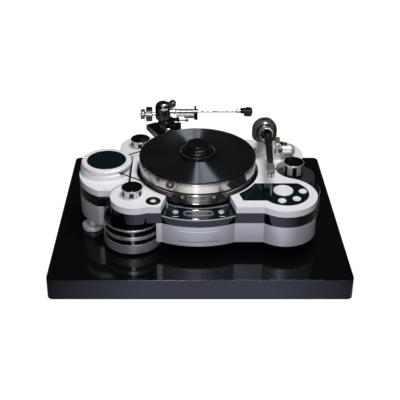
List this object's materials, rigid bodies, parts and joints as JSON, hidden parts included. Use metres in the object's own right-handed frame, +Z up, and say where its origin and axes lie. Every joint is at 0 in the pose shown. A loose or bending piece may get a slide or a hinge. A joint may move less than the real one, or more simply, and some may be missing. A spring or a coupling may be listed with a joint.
{
  "type": "air bearing turntable",
  "caption": "Record turntable whose platter floats on an air bearing: layered chassis on air legs, belt motor pod, tonearms and a polished slab.",
  "frame": {"origin": "centre of the slab's lower face, on the surface it stands on", "axes": "+X to the right seen from the front, +Y to the rear, +Z up"},
  "size_m": [0.738, 0.614, 0.2985],
  "materials": {
    "black_slab": "polished black acrylic",
    "black_layer": "polished black acrylic",
    "satin_layer": "bead-blasted, clear anodised",
    "plate": "fine brushed, blank",
    "pearl_white": "pearl white lacquer",
    "dark_glass": "back-painted glass",
    "bright_trim": "polished",
    "key_silver": "satin anodised",
    "key_white": "satin white",
    "leg_black": "gloss black lacquer",
    "leg_metal": "satin turned",
    "leg_bright": "polished",
    "knob": "black with bright rim",
    "motor_black": "satin black",
    "pulley": "turned",
    "belt": "ground rubber",
    "bearing": "lapped",
    "platter_steel": "polished, turned",
    "mat_black": "fine matte",
    "vinyl": "grooved",
    "clamp_black": "black anodised",
    "level_black": "black anodised",
    "level_glass": "clear vial",
    "inlet_brass": "turned",
    "bronze_board": "black face, bronze edge",
    "pillar_black": "gloss black",
    "pillar_champagne": "satin champagne anodised",
    "bell_dark": "black chrome",
    "bell_gunmetal": "gunmetal chrome",
    "tube_chrome": "polished",
    "wand_black": "satin black",
    "shell_black": "satin",
    "cartridge_body": "moulded",
    "weight_chrome": "turned and plated",
    "lever_black": "gloss black",
    "barrel_silver": "satin turned"
  },
  "bodies": {
    "base": {"plinth": "black_slab", "lower_chassis": "satin_layer", "nameplate": "plate", "middle_chassis": "black_layer", "top_plate": "pearl_white", "front_panel_glass": "dark_glass", "front_panel_trim": "bright_trim", "display_frame": "bright_trim", "side_panel_glass": "dark_glass", "front_left_leg": "leg_black", "rear_left_leg": "leg_black", "right_leg": "leg_black", "leg_bases": "leg_metal", "leg_rings": "leg_bright", "pod_lower": "satin_layer", "pod_middle": "black_layer", "pod_flange": "pearl_white", "pod_cap": "pearl_white", "pod_cap_glass": "dark_glass", "motor": "motor_black", "drive_belt": "belt", "pod_feet": "leg_metal", "bearing_plate": "bearing", "bearing_housing": "bearing", "level_ring": "level_black", "level_vial": "level_glass", "air_inlets": "inlet_brass", "left_arm_board": "bronze_board", "left_arm_pillar": "pillar_black", "right_arm_pillar": "pillar_champagne"},
    "platter": {"lower_platter": "platter_steel", "upper_platter": "platter_steel", "platter_disc": "mat_black", "spindle": "platter_steel"},
    "record": {"record": "vinyl"},
    "clamp": {"clamp_body": "clamp_black", "clamp_ring": "clamp_black"},
    "motor_pulley": {"motor_pulley": "pulley"},
    "front_left_knob": {"front_left_knob": "knob"},
    "rear_left_knob": {"rear_left_knob": "knob"},
    "right_knob": {"right_knob": "knob"},
    "front_key_left": {"front_key_left": "key_silver"},
    "front_key_right": {"front_key_right": "key_silver"},
    "main_key": {"main_key": "key_white"},
    "small_key_upper": {"small_key_upper": "key_white"},
    "small_key_side": {"small_key_side": "key_white"},
    "small_key_lower": {"small_key_lower": "key_white"},
    "height_knob": {"height_knob": "barrel_silver"},
    "left_bell": {"left_arm_bell": "bell_dark"},
    "left_arm": {"left_arm_wand": "tube_chrome", "left_headshell": "shell_black", "left_cartridge": "cartridge_body"},
    "left_counterweight": {"left_counterweight": "weight_chrome"},
    "left_cue_lever": {"left_cue_lever": "lever_black"},
    "right_bell": {"right_arm_bell": "bell_gunmetal"},
    "right_arm": {"right_arm_wand": "wand_black", "right_headshell": "shell_black", "right_cartridge": "cartridge_body"},
    "right_counterweight": {"right_counterweight": "weight_chrome"},
    "right_cue_lever": {"right_cue_lever": "lever_black"}
  },
  "joints": [
    {"name": "platter_spin", "type": "hinge", "parent": "base", "child": "platter", "pos_m": [-0.003, -0.005, 0.2], "axis": [0, 0, 1], "continuous": true},
    {"name": "record_lift", "type": "slide", "parent": "platter", "child": "record", "axis": [0, 0, 1], "range_m": [0, 0.05]},
    {"name": "clamp_lift", "type": "slide", "parent": "record", "child": "clamp", "axis": [0, 0, 1], "range_m": [0, 0.05]},
    {"name": "pulley_spin", "type": "hinge", "parent": "base", "child": "motor_pulley", "pos_m": [-0.2425, -0.005, 0.2035], "axis": [0, 0, 1], "continuous": true},
    {"name": "front_left_knob_turn", "type": "hinge", "parent": "base", "child": "front_left_knob", "pos_m": [-0.168, -0.1365, 0.2], "axis": [0, 0, 1], "range_deg": [-180, 180]},
    {"name": "rear_left_knob_turn", "type": "hinge", "parent": "base", "child": "rear_left_knob", "pos_m": [-0.16, 0.128, 0.2], "axis": [0, 0, 1], "range_deg": [-180, 180]},
    {"name": "right_knob_turn", "type": "hinge", "parent": "base", "child": "right_knob", "pos_m": [0.251, -0.006, 0.2], "axis": [0, 0, 1], "range_deg": [-180, 180]},
    {"name": "front_key_left_press", "type": "slide", "parent": "base", "child": "front_key_left", "axis": [0, 0, -1], "range_m": [0, 0.0012], "stiffness_N_per_m": 400, "springref_m": -0.0015},
    {"name": "front_key_right_press", "type": "slide", "parent": "base", "child": "front_key_right", "axis": [0, 0, -1], "range_m": [0, 0.0012], "stiffness_N_per_m": 400, "springref_m": -0.0015},
    {"name": "main_key_press", "type": "slide", "parent": "base", "child": "main_key", "axis": [0, 0, -1], "range_m": [0, 0.0012], "stiffness_N_per_m": 600, "springref_m": -0.0015},
    {"name": "small_key_upper_press", "type": "slide", "parent": "base", "child": "small_key_upper", "axis": [0, 0, -1], "range_m": [0, 0.0012], "stiffness_N_per_m": 400, "springref_m": -0.0015},
    {"name": "small_key_side_press", "type": "slide", "parent": "base", "child": "small_key_side", "axis": [0, 0, -1], "range_m": [0, 0.0012], "stiffness_N_per_m": 400, "springref_m": -0.0015},
    {"name": "small_key_lower_press", "type": "slide", "parent": "base", "child": "small_key_lower", "axis": [0, 0, -1], "range_m": [0, 0.0012], "stiffness_N_per_m": 400, "springref_m": -0.0015},
    {"name": "left_arm_swing", "type": "hinge", "parent": "base", "child": "left_bell", "pos_m": [-0.089, 0.2, 0.264], "axis": [0, 0, 1], "range_deg": [-50, 0]},
    {"name": "left_arm_lift", "type": "hinge", "parent": "left_bell", "child": "left_arm", "pos_m": [-0.089, 0.2, 0.264], "axis": [0, -1, 0], "range_deg": [-1.5, 6]},
    {"name": "left_counterweight_slide", "type": "slide", "parent": "left_arm", "child": "left_counterweight", "axis": [1, 0, 0], "range_m": [-0.0015, 0.004]},
    {"name": "left_cue_lever_turn", "type": "hinge", "parent": "base", "child": "left_cue_lever", "pos_m": [-0.055, 0.2007, 0.235], "axis": [0, -1, 0], "range_deg": [-36.5, 9.5]},
    {"name": "right_arm_swing", "type": "hinge", "parent": "base", "child": "right_bell", "pos_m": [0.187, 0.079, 0.264], "axis": [0, 0, 1], "range_deg": [-48, 0]},
    {"name": "right_arm_lift", "type": "hinge", "parent": "right_bell", "child": "right_arm", "pos_m": [0.187, 0.079, 0.264], "axis": [-0.9986, 0.0523, 0], "range_deg": [-1.5, 6]},
    {"name": "right_counterweight_slide", "type": "slide", "parent": "right_arm", "child": "right_counterweight", "axis": [-0.0523, -0.9986, 0], "range_m": [-0.0015, 0.004]},
    {"name": "right_cue_lever_turn", "type": "hinge", "parent": "base", "child": "right_cue_lever", "pos_m": [0.2248, 0.0542, 0.2365], "axis": [0, -1, 0], "range_deg": [-6.5, 24.5]},
    {"name": "height_knob_turn", "type": "hinge", "parent": "base", "child": "height_knob", "pos_m": [0.2425, 0.057, 0.213], "axis": [1, 0, 0], "range_deg": [-180, 180]}
  ],
  "couplings": [
    {"joint": "pulley_spin", "follows": "platter_spin", "ratio": 10.714},
    {"joint": "left_cue_lever_turn", "follows": "left_arm_lift", "ratio": -6},
    {"joint": "right_cue_lever_turn", "follows": "right_arm_lift", "ratio": 4}
  ]
}
